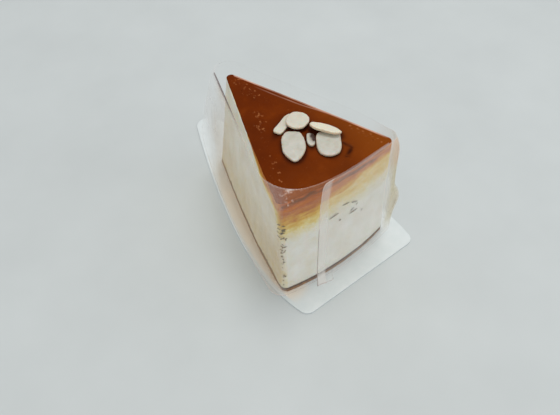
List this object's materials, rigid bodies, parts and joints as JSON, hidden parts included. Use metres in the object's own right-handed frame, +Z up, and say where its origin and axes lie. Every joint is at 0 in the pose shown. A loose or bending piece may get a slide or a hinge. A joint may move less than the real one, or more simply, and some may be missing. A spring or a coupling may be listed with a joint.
{
  "type": "slice of souffle cheesecake",
  "caption": "Wedge slice of tall, pale souffle cheesecake with a browned, glazed top and flaked almonds, wrapped in loose clear film on a slip of white card.",
  "frame": {"origin": "middle of the object's box, on the underside of the card", "axes": "+Z up, +Y towards the slice's tip, -Y towards the baked rim, +X to the right when facing the tip from the rim"},
  "size_m": [0.0796, 0.1436, 0.0727],
  "materials": {
    "cake": "soft, fine-pored cheesecake crumb under a browned and glazed top",
    "base": "thin brown baked base",
    "almond": "ivory flaked almond with a tan edge",
    "film": "clear, slightly hazy cake film",
    "card": "smooth white card"
  },
  "bodies": {
    "root": {"cake": "cake", "base_layer": "base", "film": "film", "card": "card", "flake_lower_left": "almond", "flake_lower_right": "almond", "flake_round": "almond", "flake_upper_right": "almond", "flake_sliver": "almond", "flake_fragment": "almond"}
  },
  "joints": []
}
